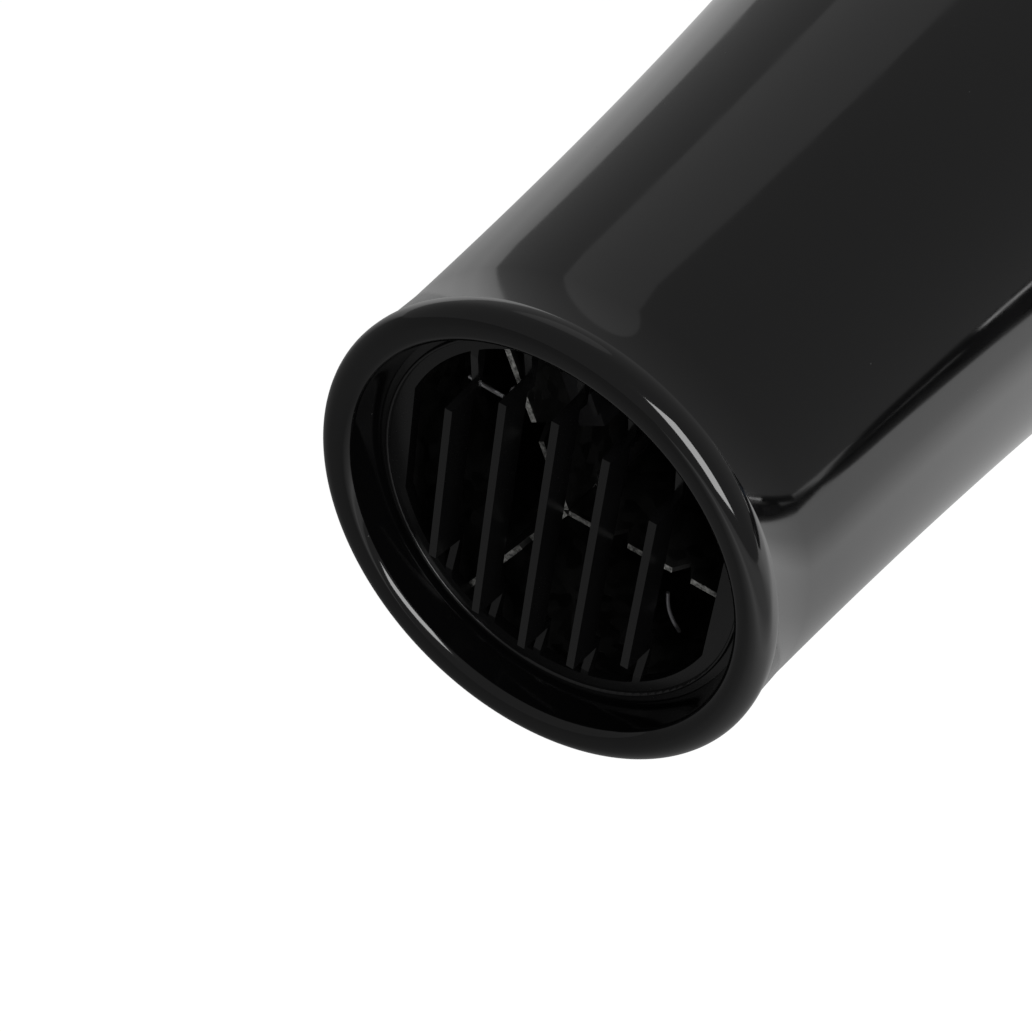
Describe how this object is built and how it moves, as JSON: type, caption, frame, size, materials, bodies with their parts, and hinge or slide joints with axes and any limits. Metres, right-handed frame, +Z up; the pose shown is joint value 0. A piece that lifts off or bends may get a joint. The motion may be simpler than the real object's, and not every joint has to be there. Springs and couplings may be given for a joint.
{
  "type": "hair dryer",
  "caption": "Pistol-shaped hair dryer with a slim flared barrel, a round outlet behind a barred grille, a fan housing and a switch handle.",
  "frame": {"origin": "on the barrel's axis, in the middle of the collar behind the outlet lip that a nozzle clips onto", "axes": "-Y is where the air leaves along the barrel's axis, +X is along the handle towards the cord inlet, +Z is up with the dryer lying on its side, square to both"},
  "size_m": [0.2449, 0.21, 0.0856],
  "materials": {
    "gloss_shell": "polished black moulded plastic",
    "satin_black": "fine satin black moulded plastic",
    "heat_plastic": "dark glass-filled heat-resistant plastic",
    "fan_plastic": "dark grey satin plastic",
    "mica": "flaky pressed mica board",
    "heater_wire": "oxidised resistance wire",
    "steel": "plated steel",
    "screw_steel": "blackened steel",
    "brass": "bright brass",
    "bronze": "sintered bronze",
    "armature": "enamelled copper windings on laminations",
    "ferrite": "dark ferrite",
    "circuit_board": "phenolic circuit board",
    "component": "black epoxy",
    "switch_body": "black switch housing",
    "capacitor": "yellow-brown dipped film capacitor",
    "key": "satin dark grey keys",
    "cool_key": "blue-grey button",
    "rubber": "soft black rubber"
  },
  "bodies": {
    "housing": {"barrel_shell": "gloss_shell", "case_screws": "screw_steel", "clamp_screws": "screw_steel", "cool_shot_spring": "steel", "cool_shot_switch": "component", "cord_clamp": "switch_body", "cord_gland": "rubber", "fan_duct": "heat_plastic", "front_bearing": "bronze", "handle_end_cap": "gloss_shell", "heater_carrier": "heat_plastic", "heater_rivets": "brass", "heater_tie_rod": "steel", "heater_wire_low": "heater_wire", "heater_wire_main": "heater_wire", "loop_pin": "steel", "lower_case_half": "gloss_shell", "mica_board_lower": "mica", "mica_board_stem": "mica", "mica_board_upper": "mica", "mica_tube": "mica", "motor_can": "steel", "motor_end_cap": "heat_plastic", "motor_magnet_ring": "ferrite", "motor_mount": "heat_plastic", "motor_terminals": "brass", "outlet_grille": "satin_black", "rear_bearing": "bronze", "rectifier_board": "circuit_board", "rectifier_diodes": "component", "suppression_capacitor": "capacitor", "switch_bezel": "satin_black", "switch_block": "switch_body", "thermal_fuse": "steel", "thermostat": "component", "upper_case_half": "gloss_shell"},
    "rotor": {"fan_impeller": "fan_plastic", "motor_shaft": "steel", "motor_armature": "armature", "motor_commutator": "brass"},
    "speed_rocker": {"speed_rocker": "key"},
    "heat_rocker": {"heat_rocker": "key"},
    "cool_shot_button": {"cool_shot_button": "cool_key"},
    "rear_cover": {"rear_cover": "gloss_shell", "filter_frame": "satin_black", "filter_mesh": "steel"},
    "hang_loop": {"hang_loop": "satin_black"}
  },
  "joints": [
    {"name": "fan_spin", "type": "hinge", "parent": "housing", "child": "rotor", "pos_m": [0, 0.14, 0], "axis": [0, 1, 0], "continuous": true},
    {"name": "speed_rocker_tilt", "type": "hinge", "parent": "housing", "child": "speed_rocker", "pos_m": [0.091, 0.1377, 0], "axis": [0, 0, 1], "range_deg": [0, 18]},
    {"name": "heat_rocker_tilt", "type": "hinge", "parent": "housing", "child": "heat_rocker", "pos_m": [0.119, 0.1377, 0], "axis": [0, 0, 1], "range_deg": [0, 18]},
    {"name": "cool_shot_press", "type": "slide", "parent": "housing", "child": "cool_shot_button", "axis": [0, 1, 0], "range_m": [0, 0.0025], "stiffness_N_per_m": 400, "springref_m": -0.002, "deforming": ["cool_shot_spring"]},
    {"name": "rear_cover_twist", "type": "hinge", "parent": "housing", "child": "rear_cover", "pos_m": [0, 0.19, 0], "axis": [0, 1, 0], "range_deg": [0, 20]},
    {"name": "hang_loop_swing", "type": "hinge", "parent": "housing", "child": "hang_loop", "pos_m": [0.1806, 0.1383, 0], "axis": [0, 0, 1], "range_deg": [-60, 50]}
  ]
}
